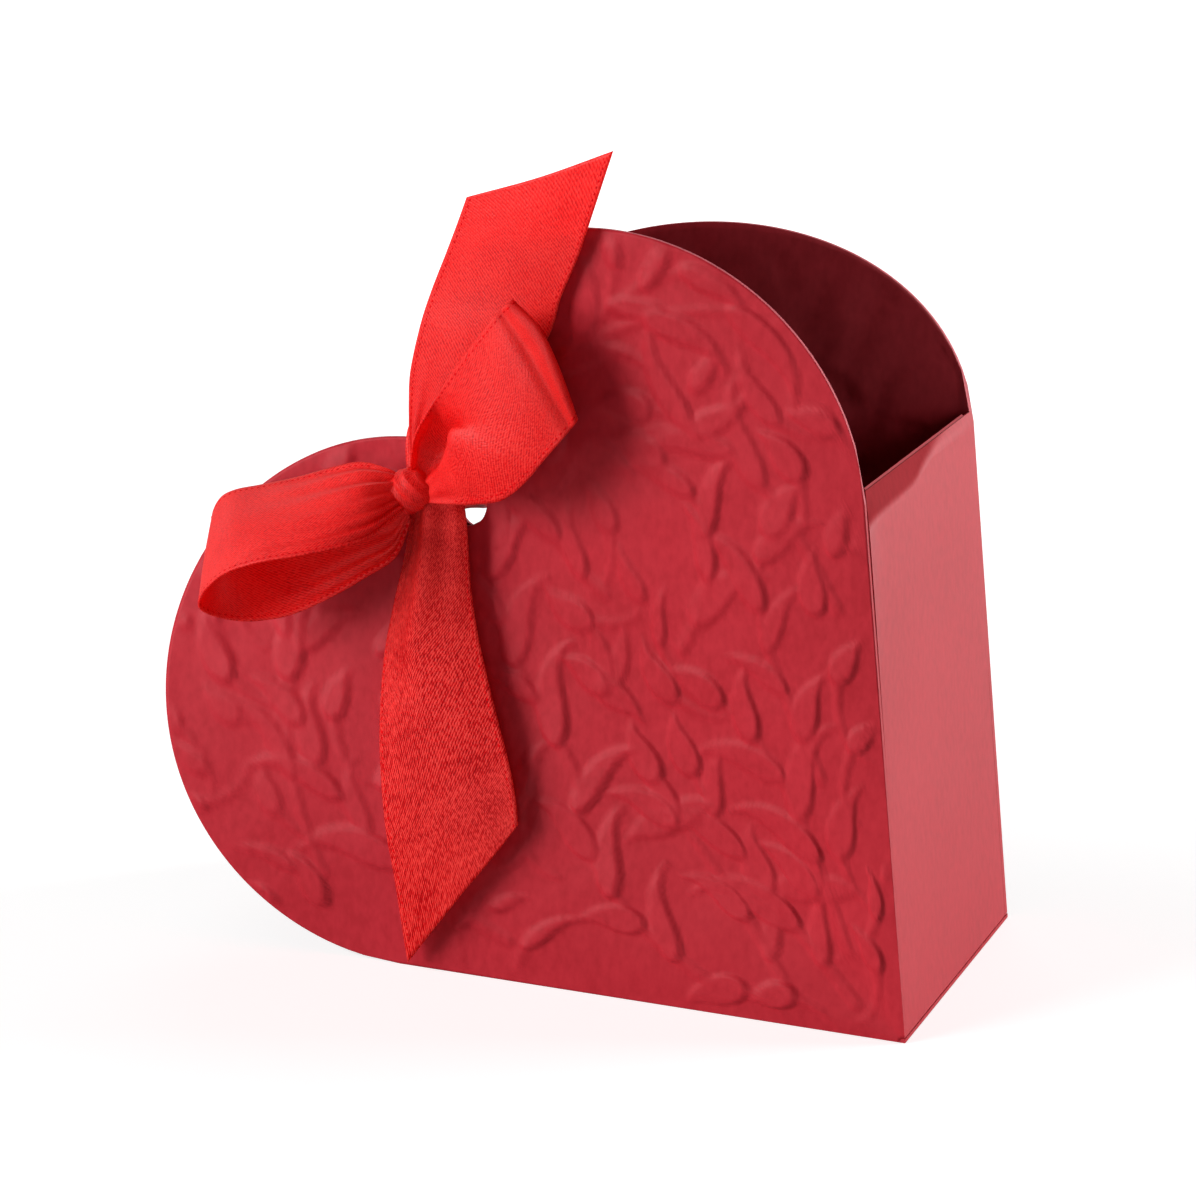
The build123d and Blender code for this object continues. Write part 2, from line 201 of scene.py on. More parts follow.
def facetShadeShare(tree, coords):
    place = addNode(tree, "ShaderNodeSeparateXYZ", Vector=coords)
    across = addNode(tree, "ShaderNodeMapRange", Value=place.outputs["Y"], i1=bend["front"] * mm,
                     i2=bend["back"] * mm)
    line = addNode(tree, "ShaderNodeFloatCurve", Value=across.outputs[0])
    points = line.mapping.curves[0].points
    while len(points) < len(bend["line"]):
        points.new(0.5, 0.5)
    for point, at in zip(points, bend["line"]):
        point.location = at
    line.mapping.update()
    up = addNode(tree, "ShaderNodeMapRange", Value=place.outputs["Z"], i1=bend["low"] * mm,
                 i2=bend["high"] * mm)
    above = maths(tree, "SUBTRACT", up.outputs[0], line.outputs["Value"])
    soft = bend["soft"] / (bend["high"] - bend["low"])
    share = addNode(tree, "ShaderNodeMapRange", {"interpolation_type": "SMOOTHSTEP"}, Value=above,
                    i1=-soft / 2, i2=soft)
    return share.outputs[0]


def makeCard(name, tint, specular, facet=False):
    material, tree, shader = newMaterial(name)
    coords = addNode(tree, "ShaderNodeTexCoord").outputs["Object"]
    grain = noise(tree, coords, cardLook["grainScale"], cardLook["grainDetail"])
    cloud = noise(tree, coords, cardLook["cloudScale"], cardLook["cloudDetail"])
    fibre = addNode(tree, "ShaderNodeMapping", Vector=coords, Scale=cardLook["fibreScale"])
    fibreNoise = noise(tree, fibre.outputs["Vector"], 1.0, cardLook["fibreDetail"])
    mixed = maths(tree, "MULTIPLY", maths(tree, "ADD", cloud, fibreNoise), 0.5)
    # a factor below 1 darkens the card as painted shade
    shades = [[c * tint for c in cardLook[key]] for key in ("deep", "color", "pale")]
    color = ramp(tree, mixed, cardLook["stops"], shades)
    rough = cardLook["roughness"]
    # painted shade: the side wall's top is darkened and made rough above the bend
    if facet:
        share = facetShadeShare(tree, coords)
        color = addNode(tree, "ShaderNodeMix", {"data_type": "RGBA", "blend_type": "MULTIPLY"}, i0=share,
                        i6=color, i7=(*bend["facetShade"], 1)).outputs[2]
        rough = maths(tree, "MULTIPLY_ADD", share, bend["roughness"] - rough, rough)
    bump = addNode(tree, "ShaderNodeBump", Height=grain, Strength=cardLook["grainStrength"],
                   Distance=cardLook["grainHeight"])
    setInputs(tree, shader, {"Base Color": color, "Roughness": rough, "Specular IOR Level": specular,
                             "Normal": bump.outputs["Normal"], **cardLook["sheen"]})
    return material


# plain material with a fine grain between two colours
def makeGrained(name, look):
    material, tree, shader = newMaterial(name)
    coords = addNode(tree, "ShaderNodeTexCoord").outputs["Object"]
    grain = noise(tree, coords, look["scale"], look["detail"])
    color = ramp(tree, grain, look["stops"], look["colors"])
    setInputs(tree, shader, {"Base Color": color, **look["shader"]})
    return material


cardMaterial = makeCard("crimsonCard", tint=1.0, specular=0.12)
# inside faces of the panels: the card's colour halved, painted shade inside the box
insideShadeMaterial = makeCard("crimsonCardInsideShade", tint=0.5, specular=0.08)
wallMaterial = makeCard("crimsonCardPlain", tint=1.0, specular=0.3)
# side wall, with painted shade darkening its top
sideMaterial = makeCard("crimsonCardFacetShade", tint=1.0, specular=0.3, facet=True)
edgeMaterial = makeGrained("cardCutEdge", cutEdge)

# embossed foliage: scrolling stems, comma leaves and small flowers
foliage = {"lineStep": 0.4, "fewestSteps": 6, "stemWidth": 0.5, "stemHeight": 0.24, "leafHeight": 0.48,
           "heightRange": (0.65, 1.15), "softRange": (0.3, 0.6), "leafGap": 2.7, "leafStart": 0.2,
           "leafSpacing": 4.2, "leafTurn": (14, 40), "leafLength": (6.0, 11.0), "leafWidth": (0.75, 1.4),
           "petals": ((0, 6.4, 1), (36, 6.8, 1), (-36, 6.8, -1), (84, 5.0, 1), (-84, 5.0, -1)),
           "petalWidth": 1.15, "petalGap": 1.4, "endLength": 5.4, "endWidth": 1.3, "endGap": 2.0,
           "threadTaper": 0.6, "threadDrop": 0.3, "threadSoft": 0.7, "borderFade": 1.6, "insideShare": 0.8,
           "frontSeed": 11, "backSeed": 23, "backSquash": 0.92, "backTurn": 6}
leafShape = {"bendStart": 0.05, "bendEnd": 0.3, "span": 0.95, "start": 0.05, "power": 0.55, "roundness": 1.2,
             "least": 0.08, "tipDrop": 0.45}
# loose leaves and curled threads in the spaces left over
fill = {"tries": 900, "gap": 4.3, "spanX": (-49, 24), "spanZ": (2.5, 71), "heading": 112, "sway": 55,
        "swayX": 0.13, "swayZ": 0.09, "spread": (-30, 30), "length": (3.4, 7.2), "width": (0.55, 1.35),
        "threadShare": 0.6, "threadTurn": 25, "threadLength": (5, 9), "threadBend": (0.02, -0.34),
        "threadWidth": 0.38, "threadHeight": 0.24}
# how a stroke stands up from the card, and the card's slow unevenness
pressing = {"reach": 2.6, "shoulder": 0.6, "leanEase": 0.3, "upright": 0.66, "leaning": 0.34, "wave": 0.06,
            "waveX": (0.5, 1.3, 0.31), "waveZ": (0.43, 0.8, 0.23)}


# a line that starts somewhere with a heading and bends evenly from one curvature to another
def stemLine(x, z, headingDegrees, length, bendStart, bendEnd):
    count = max(foliage["fewestSteps"], int(length / foliage["lineStep"]))
    heading = math.radians(headingDegrees)
    points = [(x, z)]
    for i in range(count):
        heading += (bendStart + (bendEnd - bendStart) * i / count) * length / count
        x += math.cos(heading) * length / count
        z += math.sin(heading) * length / count
        points.append((x, z))
    return np.array(points)


# (x, z, heading, length, bend at start, bend at end): mm, degrees, radians per mm
frontStems = [
    (-14, 4, 158, 46, -0.012, -0.055), (-33, 8, 118, 30, -0.02, -0.06), (20, 3, 132, 26, 0.012, -0.03),
    (14, 2.5, 118, 24, 0.03, -0.02), (19, 8, 112, 26, -0.01, 0.06), (6, 3, 150, 22, 0.0, -0.09),
    (-8, 20, 120, 24, 0.03, -0.09), (16, 24, 112, 24, 0.03, -0.1), (17, 40, 120, 26, 0.0, 0.08),
    (-13, 55, 62, 24, -0.02, -0.06), (-12, 58, 40, 22, -0.02, -0.05), (-12, 50, 18, 20, 0.03, -0.09),
    (2, 34, 60, 20, 0.03, 0.14), (-6, 38, 150, 16, -0.05, -0.16)]
# small flowers: place, heading of the middle petal
frontFlowers = [(1.5, 17.5, 118), (-6, 29, 60), (15.5, 13, 100)]
backStems = [(x, z * foliage["backSquash"], heading + foliage["backTurn"], length, -start, -end)
             for x, z, heading, length, start, end in frontStems]
backFlowers = [(3, 21, 100), (-12, 22, 120)]


def commaLeaf(x, z, heading, length, side, width, tall, soft):
    line = stemLine(x, z, heading, length, -side * leafShape["bendStart"], side * leafShape["bendEnd"])
    t = np.linspace(0, 1, len(line))
    swell = np.clip(t * leafShape["span"] + leafShape["start"], 0, 1) ** leafShape["power"]
    radius = width * np.sin(np.pi * swell) ** leafShape["roundness"] + leafShape["least"]
    return line, radius, tall * (1 - leafShape["tipDrop"] * t), soft


def strokesOf(stems, flowers, seed):
    rng = random.Random(seed)
    strokes, taken = [], []

    def place(x, z, heading, length, side, width, gap):
        tall = foliage["leafHeight"] * rng.uniform(*foliage["heightRange"])
        leaf = commaLeaf(x, z, heading, length, side, width, tall, rng.uniform(*foliage["softRange"]))
        middle = leaf[0][len(leaf[0]) // 3]
        if all(math.hypot(middle[0] - q[0], middle[1] - q[1]) > gap for q in taken):
            strokes.append(leaf)
            taken.append(middle)

    def thread(line, width, tall):
        taper = np.linspace(0, 1, len(line))
        strokes.append((line, width * (1 - foliage["threadTaper"] * taper),
                        tall * (1 - foliage["threadDrop"] * taper), foliage["threadSoft"]))

    for x, z, heading in flowers:
        for turn, length, side in foliage["petals"]:
            place(x, z, heading + turn, length, side, foliage["petalWidth"], foliage["petalGap"])
    for stem in stems:
        line = stemLine(*stem)
        thread(line, foliage["stemWidth"], foliage["stemHeight"])
        for k, share in enumerate(np.arange(foliage["leafStart"], 1.0, foliage["leafSpacing"] / stem[3])):
            i = int(share * (len(line) - 2))
            along = line[i + 1] - line[i]
            heading = math.degrees(math.atan2(along[1], along[0]))
            side = 1 if k % 2 else -1
            place(*line[i], heading + side * rng.uniform(*foliage["leafTurn"]),
                  rng.uniform(*foliage["leafLength"]), side, rng.uniform(*foliage["leafWidth"]),
                  foliage["leafGap"])
        curl = 1 if stem[5] > 0 else -1
        end = math.degrees(math.atan2(*(line[-1] - line[-2])[::-1]))
        place(*line[-1], end, foliage["endLength"], curl, foliage["endWidth"], foliage["endGap"])
    for _ in range(fill["tries"]):
        x, z = rng.uniform(*fill["spanX"]), rng.uniform(*fill["spanZ"])
        sway = fill["sway"] * math.sin(x * fill["swayX"] + z * fill["swayZ"])
        heading = fill["heading"] + sway + rng.uniform(*fill["spread"])
        side = rng.choice((-1, 1))
        before = len(taken)
        place(x, z, heading, rng.uniform(*fill["length"]), side, rng.uniform(*fill["width"]), fill["gap"])
        if len(taken) > before and rng.random() < fill["threadShare"]:
            curled = stemLine(x, z, heading + 180 - side * fill["threadTurn"],
                              rng.uniform(*fill["threadLength"]), side * fill["threadBend"][0],
                              side * fill["threadBend"][1])
            thread(curled, fill["threadWidth"], fill["threadHeight"])
    return strokes


def reliefAt(x, z, strokes):
    total = np.zeros(len(x))
    for line, radius, tall, soft in strokes:
        low, high = line.min(0) - pressing["reach"], line.max(0) + pressing["reach"]
        near = np.nonzero((x > low[0]) & (x < high[0]) & (z > low[1]) & (z < high[1]))[0]
        if not len(near):
            continue
        gap = np.hypot(x[near, None] - line[None, :, 0], z[near, None] - line[None, :, 1]) - radius[None, :]
        closest = gap.argmin(1)
        depth = -gap[np.arange(len(near)), closest]
        rise = np.clip((depth + soft * pressing["shoulder"]) / soft, 0, 1)
        lean = np.clip((x[near] - line[closest, 0]) / (radius[closest] + pressing["leanEase"]), -1, 1)
        upright = pressing["upright"] + pressing["leaning"] * lean
        bump = tall[closest] * rise * rise * (3 - 2 * rise) * upright
        total[near] += bump ** 3
    a, b, c = pressing["waveX"]
    d, e, f = pressing["waveZ"]
    across, up = np.sin(x * a + b * np.sin(z * c)), np.sin(z * d + e * np.sin(x * f))
    return np.cbrt(total) + pressing["wave"] * across * up


# far edge of the heart along a ray from its point
def outlineReach(angles, radius):
    low = np.array([-halfSide, radius])
    turn = heart["pointAngle"]
    crease = np.array([-math.cos(turn), math.sin(turn)])
    inward = np.array([-crease[1], crease[0]])
    foldEnd = np.array([halfSide, 0]) + heart["side"] * crease
    high = foldEnd + radius * inward
    cleft = np.array([-halfSide, 2 * radius])
    joinDir = np.array([math.cos(heart["joinAngle"]), math.sin(heart["joinAngle"])])
    gap = cleft - high
    shift = (radius ** 2 - gap @ gap) / (2 * (radius - gap @ joinDir))
    tight, tightRadius = high + shift * joinDir, radius - shift
    joinPoint = high + radius * joinDir
    cleftAngle = math.atan2(cleft[1], halfSide - cleft[0])
    joinTurn = math.atan2(joinPoint[1], halfSide - joinPoint[0])

    def farSide(angle, centre, r):
        ray = np.array([-math.cos(angle), math.sin(angle)])
        to = centre - np.array([halfSide, 0])
        along = to @ ray
        return along + math.sqrt(max(r * r - (to @ to - along * along), 0))

    arcs = ((cleftAngle, low, radius), (joinTurn, tight, tightRadius), (math.inf, high, radius))
    return np.array([farSide(angle, *next(arc[1:] for arc in arcs if angle <= arc[0])) for angle in angles])


# triangles between two loops whose corners are ordered by the same measure
def zipLoops(first, firstMeasure, second, secondMeasure):
    faces, i, j = [], 0, 0
    while i < len(first) - 1 or j < len(second) - 1:
        ended = j == len(second) - 1
        if ended or (i < len(first) - 1 and firstMeasure[i + 1] <= secondMeasure[j + 1]):
            faces.append((first[i], first[i + 1], second[j]))
            i += 1
        else:
            faces.append((first[i], second[j + 1], second[j]))
            j += 1
    return faces


# corners round the tie hole, in order along the cut edge of the faces that are kept
def holeLoop(quads, inHole, points, hole):
    edges = np.sort(np.concatenate([quads[:, [k, (k + 1) % 4]] for k in range(4)]), 1)
    lines, uses = np.unique(edges, axis=0, return_counts=True)
    beside = {}
    for a, b in lines[(uses == 1) & inHole[lines[:, 0]] & inHole[lines[:, 1]]]:
        beside.setdefault(a, []).append(b)
        beside.setdefault(b, []).append(a)
    angle = {i: math.atan2(points[i, 2] - hole[1], points[i, 0] - hole[0]) for i in beside}
    loop = [min(angle, key=angle.get)]
    ahead = min(beside[loop[0]], key=lambda i: (angle[i] - angle[loop[0]]) % (2 * math.pi))
    while ahead != loop[0]:
        loop.append(ahead)
        ahead = next(i for i in beside[ahead] if i != loop[-2])
    turned = np.unwrap([angle[i] for i in loop])
    if turned[-1] < turned[0]:
        loop = loop[:1] + loop[:0:-1]
        turned = np.unwrap([angle[i] for i in loop])
    return loop + loop[:1], np.append(turned, turned[0] + 2 * math.pi)


# one face of a bent heart panel as a fan of rays from the point, with the tie hole cut out
def panelFace(facing, radius, pinch, power, hole, inset, fold, strokes, rays, rings, relief):
    cleftAngle = math.atan2(2 * radius, heart["side"])
    lowRays = round(rays * cleftAngle / heart["pointAngle"])
    angles = np.concatenate([np.linspace(0, cleftAngle, lowRays + 1),
                             np.linspace(cleftAngle, heart["pointAngle"], rays - lowRays + 1)[1:]])
    reaches = outlineReach(angles, radius)
    share = np.linspace(0, 1, rings + 1)
    reach = heart["pointNick"] + (reaches[:, None] - heart["pointNick"]) * share[None, :]
    turn = np.repeat(angles[:, None], rings + 1, 1)
    x, z = halfSide - reach * np.cos(turn), reach * np.sin(turn)
    gap = np.hypot(x - hole[0], z - hole[1])
    inHole = gap < heart["holeRadius"]
    keep = ~(inHole[:-1, :-1] & inHole[1:, :-1] & inHole[1:, 1:] & inHole[:-1, 1:])
    grow = np.where(inHole, heart["holeRadius"] / np.maximum(gap, 1e-6), 1)
    x, z = hole[0] + (x - hole[0]) * grow, hole[1] + (z - hole[1]) * grow
    reach, turn = np.hypot(x - halfSide, z), np.arctan2(z, halfSide - x)
    swell = np.clip(np.sin(np.pi * np.clip(turn / heart["pointAngle"], 0, 1)), 0, 1) ** power
    raised = reliefAt(x.ravel(), z.ravel(), strokes).reshape(x.shape) * relief
    border = np.minimum(share[None, ::-1] * reaches[:, None], np.minimum(
        reach * np.sin(turn), reach * np.sin(np.clip(heart["pointAngle"] - turn, 0, 2))))
    raised *= np.clip(border / foliage["borderFade"], 0, 1)
    deep = np.full((rays + 1, 1), inset)
    deep[[0, -1]] += fold
    y = facing * (halfDepth - deep - pinch * swell * reach / cleftReach + raised)
    points = np.stack([x, y, z], 2).reshape(-1, 3)
    index = np.arange(points.shape[0]).reshape(rays + 1, rings + 1)
    quads = np.stack([index[:-1, :-1], index[1:, :-1], index[1:, 1:], index[:-1, 1:]], 2)[keep]
    ring, ringAngle = holeLoop(quads, inHole.ravel(), points, hole)
    # along the lobes, round the nick at the point, along the two creases, round the hole
    loops = {"rim": list(index[:, -1]), "point": list(index[:, 0]), "start": list(index[0]),
             "end": list(index[-1]), "hole": ring}
    return points, quads, loops, {"rim": angles, "side": share, "hole": ringAngle}


# turns every face of a closed mesh outward
def faceOut(mesh):
    shape = bmesh.new()
    shape.from_mesh(mesh)
    bmesh.ops.recalc_face_normals(shape, faces=shape.faces)
    if shape.calc_volume(signed=True) < 0:
        bmesh.ops.reverse_faces(shape, faces=shape.faces)
    shape.to_mesh(mesh)
    shape.free()


def makePanel(name, node, facing, side, strokes):
    keys = ("Radius", "Pinch", "Power", "Hole", "Fold", "Mesh")
    radius, pinch, power, hole, fold, (rays, rings) = (heart[side + key] for key in keys)
    outer = panelFace(facing, radius, pinch, power, hole, 0.0, 0.0, strokes, rays, rings, 1.0)
    inner = panelFace(facing, radius, pinch, power, hole, heart["card"], fold, strokes, rays // 2, rings // 2,
                      foliage["insideShare"])
    base = len(outer[0])
    points = np.concatenate([outer[0], inner[0]])
    flip = facing < 0
    outerFaces = [tuple(q) if flip else tuple(q[::-1]) for q in outer[1]]
    innerFaces = [tuple(q[::-1] + base) if flip else tuple(q + base) for q in inner[1]]
    foldFaces, rimFaces = [], []
    bands = (("rim", "rim", rimFaces), ("point", "rim", foldFaces), ("start", "side", foldFaces),
             ("end", "side", foldFaces), ("hole", "hole", rimFaces))
    for part, measure, faces in bands:
        faces += zipLoops(outer[2][part], outer[3][measure], [i + base for i in inner[2][part]],
                          inner[3][measure])
    piece = addMesh(name, points, outerFaces + innerFaces + foldFaces + rimFaces)
    mesh = piece.data
    for material in (cardMaterial, edgeMaterial, insideShadeMaterial, wallMaterial):
        mesh.materials.append(material)
    counts = [len(faces) for faces in (outerFaces, innerFaces, foldFaces, rimFaces)]
    # the inside faces get the halved card colour, painted shade inside the box
    slots = np.repeat([0, 2, 3, 1], counts)  # outside, inside, folds, cut edges
    mesh.polygons.foreach_set("material_index", slots)
    mesh.polygons.foreach_set("use_smooth", slots % 2 == 0)
    faceOut(mesh)
    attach(piece, "box")
    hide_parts(node)
    return piece


frontCard = makePanel("frontCard", "front_panel", -1, "front",
                      strokesOf(frontStems, frontFlowers, foliage["frontSeed"]))
backCard = makePanel("backCard", "back_panel", 1, "back",
                     strokesOf(backStems, backFlowers, foliage["backSeed"]))
print("card panels embossed", len(frontCard.data.polygons), len(backCard.data.polygons))

for node in ("base_wall", "side_flap", "base_flap", "side_glue_tab", "corner_glue_tab"):
    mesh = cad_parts[node].data
    mesh.materials.clear()
    mesh.materials.append(wallMaterial)

# side wall: swells a little up to the bend, then leans back in to the score at its top
wall = {"front": -17.05, "back": 16.73, "low": 0.5, "swellFrom": 22.0, "top": 51.15, "swell": 0.45,
        "leastLean": 0.8, "frontEase": 1.5, "backEase": 4.0, "frontShare": 0.25, "backShare": 0.55,
        "across": 68, "plainRows": 30, "topRows": 64}


def makeSideWall():
    turn = heart["pointAngle"]
    outward = np.array((math.sin(turn), 0, math.cos(turn)))
    across = np.linspace(wall["front"], wall["back"], wall["across"] + 1)
    along = np.concatenate([np.linspace(wall["low"], wall["swellFrom"], wall["plainRows"], endpoint=False),
                            np.linspace(wall["swellFrom"], wall["top"], wall["topRows"])])
    y, s = np.meshgrid(across, along)
    share, height = np.array(bend["line"]).T
    bendAt = np.interp((y - bend["front"]) / (bend["back"] - bend["front"]), share,
                       bend["low"] + height * (bend["high"] - bend["low"])) / math.sin(turn)
    bendAt = np.minimum(bendAt, wall["top"] - wall["leastLean"])
    rise = np.clip((s - wall["swellFrom"]) / (bendAt - wall["swellFrom"]), 0, 1)
    fall = np.clip((wall["top"] - s) / (wall["top"] - bendAt), 0, 1)
    ease = (1 - (1 - wall["frontShare"]) * np.exp(-(y - wall["front"]) / wall["frontEase"])
            - (1 - wall["backShare"]) * np.exp(-(wall["back"] - y) / wall["backEase"]))
    swell = wall["swell"] * ease * np.where(s < bendAt, rise * rise * (3 - 2 * rise), fall)
    points = np.stack([halfSide - s * math.cos(turn), y, s * math.sin(turn)], 2) + swell[..., None] * outward
    piece = addMesh("sideWallCard", points.reshape(-1, 3), gridFaces(*y.shape))
    piece.data.materials.append(sideMaterial)
    edgeOf = np.zeros(len(piece.data.loops), int)
    piece.data.loops.foreach_get("edge_index", edgeOf)
    shared = np.bincount(edgeOf, minlength=len(piece.data.edges))
    piece.data.edges.foreach_set("use_edge_sharp", shared == 1)
    thicken(piece, heart["card"], -1)
    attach(piece, "box")
    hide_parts("side_wall")


makeSideWall()


# straight prism along Y between two depths, from its corners (x, z) in order
def prism(name, corners, front, back, body):
    count = len(corners)
    points = [np.array((x, y, z)) for y in (front, back) for x, z in corners]
    faces = [tuple(range(count)), tuple(range(count, 2 * count))[::-1]]
    faces += [(i, i + count, (i + 1) % count + count, (i + 1) % count) for i in range(count)]
    piece = addMesh(name, points, faces, False)
    piece.data.materials.append(wallMaterial)
    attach(piece, body)


# glue line that closes the corner under the side wall, and the scored card between each wall and its flap
glue = {"corners": [(24.2, 0.39), (24.85, 0.39), (24.85, 0.56), (24.2, 0.56)], "front": -17.0, "back": 16.7}
prism("cornerGlue", glue["corners"], glue["front"], glue["back"], "box")
crease = {"score": (18.98, 50.84), "root": (18.41, 50.0), "thin": 0.12, "thick": 0.19, "front": -16.5,
          "back": 14.8}


def acrossHeart(place):
    half = heart["pointAngle"] / 2
    ahead = np.array((-math.cos(half), math.sin(half)))
    arm = np.array(place) - (halfSide, 0)
    return np.array((halfSide, 0)) + 2 * (arm @ ahead) * ahead - arm


def flapCrease(name, body, mirrored):
    score, root = (np.array(crease[key]) for key in ("score", "root"))
    along = (root - score) / np.linalg.norm(root - score)
    square = np.array((-along[1], along[0]))
    corners = [root - square * crease["thick"], root + square * crease["thick"],
               score + square * crease["thin"], score - square * crease["thin"]]
    if mirrored:
        corners = [acrossHeart(place) for place in corners[::-1]]
    prism(name, corners, crease["front"], crease["back"], body)


flapCrease("sideFlapCrease", "side_flap", False)
flapCrease("baseFlapCrease", "base_flap", True)
print("walls and flaps painted")

# satin ribbon
ribbon = {"width": 12.7, "thickness": 0.18, "color": (0.9, 0.004, 0.006), "deep": (0.54, 0.0008, 0.004),
          "pale": (1.0, 0.045, 0.038), "darkerColor": (0.68, 0.004, 0.008), "darkerDeep": (0.36, 0.0004, 0.003),
          "darkerPale": (1.0, 0.07, 0.06)}
satinLook = {"turn": math.radians(24), "floatSize": (5.6, 1.9, 1), "floatScale": 1.6, "floatDetail": 1.0,
             "twillScale": 2.0, "twillWarp": 0.8, "twillDetail": 1.0, "twillShare": 0.35, "cloudScale": 0.35,
             "cloudDetail": 2.0, "cloudShare": 0.3, "stops": (0.54, 0.76, 0.98), "bumpDistance": 0.00006,
             "glow": (0.95, 0.03, 0.02, 1), "glowShare": 0.38, "roughness": 0.38,
             "sheen": {"Sheen Weight": 0.06, "Sheen Roughness": 0.3, "Sheen Tint": (1.0, 0.35, 0.3, 1)}}


def makeSatin(name, colors, coarse, bumpStrength, specular):
    material, tree, shader = newMaterial(name)
    flat = {"noise_dimensions": "2D"}
    uv = addNode(tree, "ShaderNodeUVMap", {"uv_map": "weave"}).outputs["UV"]  # mm across and along
    turned = addNode(tree, "ShaderNodeMapping", Vector=uv, Rotation=(0, 0, satinLook["turn"]),
                     Scale=satinLook["floatSize"])
    floats = noise(tree, turned.outputs["Vector"], satinLook["floatScale"] / coarse, satinLook["floatDetail"],
                   flat)
    twill = addNode(tree, "ShaderNodeTexWave", {"bands_direction": "DIAGONAL"}, Vector=uv,
                    Scale=satinLook["twillScale"], Distortion=satinLook["twillWarp"],
                    Detail=satinLook["twillDetail"])
    cloud = noise(tree, uv, satinLook["cloudScale"], satinLook["cloudDetail"], flat)
    weave = maths(tree, "ADD", floats, maths(tree, "MULTIPLY", twill.outputs["Fac"], satinLook["twillShare"]))
    shade = maths(tree, "MULTIPLY_ADD", cloud, satinLook["cloudShare"], weave)
    bump = addNode(tree, "ShaderNodeBump", Height=weave, Strength=bumpStrength,
                   Distance=satinLook["bumpDistance"])
    color = ramp(tree, shade, satinLook["stops"], colors)
    setInputs(tree, shader, {"Base Color": color, "Roughness": satinLook["roughness"],
                             "Specular IOR Level": specular, "Normal": bump.outputs["Normal"],
                             **satinLook["sheen"]})
    glow = addNode(tree, "ShaderNodeBsdfTranslucent", Color=satinLook["glow"])
    both = addNode(tree, "ShaderNodeMixShader", Fac=satinLook["glowShare"], i1=shader.outputs["BSDF"],
                   i2=glow.outputs["BSDF"])
    tree.links.new(both.outputs["Shader"], tree.nodes["Material Output"].inputs["Surface"])
    return material


satin = makeSatin("redSatin", (ribbon["deep"], ribbon["color"], ribbon["pale"]), coarse=1.0, bumpStrength=0.7,
                  specular=0.3)
# darker, duller satin with coarser floats, used on the lower tail
satinDarker = makeSatin("redSatinDarker", (ribbon["darkerDeep"], ribbon["darkerColor"], ribbon["darkerPale"]),
                      coarse=1.5, bumpStrength=0.9, specular=0.1)


# smooth curve through given places
def smoothLine(places, count):
    places = np.array(places, float)
    ahead = np.zeros_like(places)
    ahead[1:-1] = (places[2:] - places[:-2]) / 2
    ahead[0], ahead[-1] = places[1] - places[0], places[-1] - places[-2]
    at = np.linspace(0, len(places) - 1, count)
    i = np.minimum(at.astype(int), len(places) - 2)
    t = (at - i)[:, None]
    a, b, m, n = places[i], places[i + 1], ahead[i], ahead[i + 1]
    return ((2 * t ** 3 - 3 * t ** 2 + 1) * a + (t ** 3 - 2 * t ** 2 + t) * m
            + (-2 * t ** 3 + 3 * t ** 2) * b + (t ** 3 - t ** 2) * n)


# a strip of ribbon: each row gives the places across it, from one selvedge to the other
def ribbonGrid(rows, along, across):
    columns = max(len(row) for row in rows)
    even = np.array([smoothLine(row, columns * 4 + 1) for row in rows])
    lengthwise = np.stack([smoothLine(even[:, j], along + 1) for j in range(even.shape[1])], 1)
    return np.stack([smoothLine(line, across + 1) for line in lengthwise])


# direction square to the strip at every corner of its grid
def gridNormals(grid):
    normals = np.cross(np.gradient(grid, axis=0), np.gradient(grid, axis=1))
    return normals / np.maximum(np.linalg.norm(normals, axis=2), 1e-9)[..., None]


# lengthwise pleats where a strip is gathered into the knot, dying out along it
pleat = {"startSpan": 1.2, "startShare": 0.35, "drift": 0.35, "driftRate": 5.1, "even": 0.7, "uneven": 0.3,
         "unevenRate": 9.3}


def gather(grid, pleats, height, reach, bothEnds):
    across = grid.shape[1] - 1
    travelled = travelledAlong(grid[:, across // 2])

    def fadeFrom(away):
        return np.exp(-(away / reach) ** 2) * np.clip(away / pleat["startSpan"], pleat["startShare"], 1)

    fade = fadeFrom(travelled)
    if bothEnds:
        fade = fade + fadeFrom(travelled[-1] - travelled)
    share = np.linspace(0, 1, across + 1)
    drift = pleat["drift"] * np.sin(pleat["driftRate"] * share)
    uneven = pleat["even"] + pleat["uneven"] * np.sin(pleat["unevenRate"] * share + 1)
    wave = np.sin(2 * np.pi * (pleats * share + drift)) * uneven
    return grid + gridNormals(grid) * (height * fade[:, None] * wave[None, :])[..., None]


# woven beads along a path: points set out evenly, a small bead on each
selvedge = {"pitch": 0.62 * mm, "width": 0.13 * mm, "stretch": 1.9, "segments": 7, "rings": 5,
            "edgeShare": 0.034, "start": 3.4, "endSteps": 2}
threadLook = {"colors": ((0.6, 0.0015, 0.004), (0.82, 0.003, 0.006)), "stops": (0.35, 0.65), "scale": 1800.0,
              "detail": 2.0, "shader": {"Roughness": 0.8, "Specular IOR Level": 0.05}}


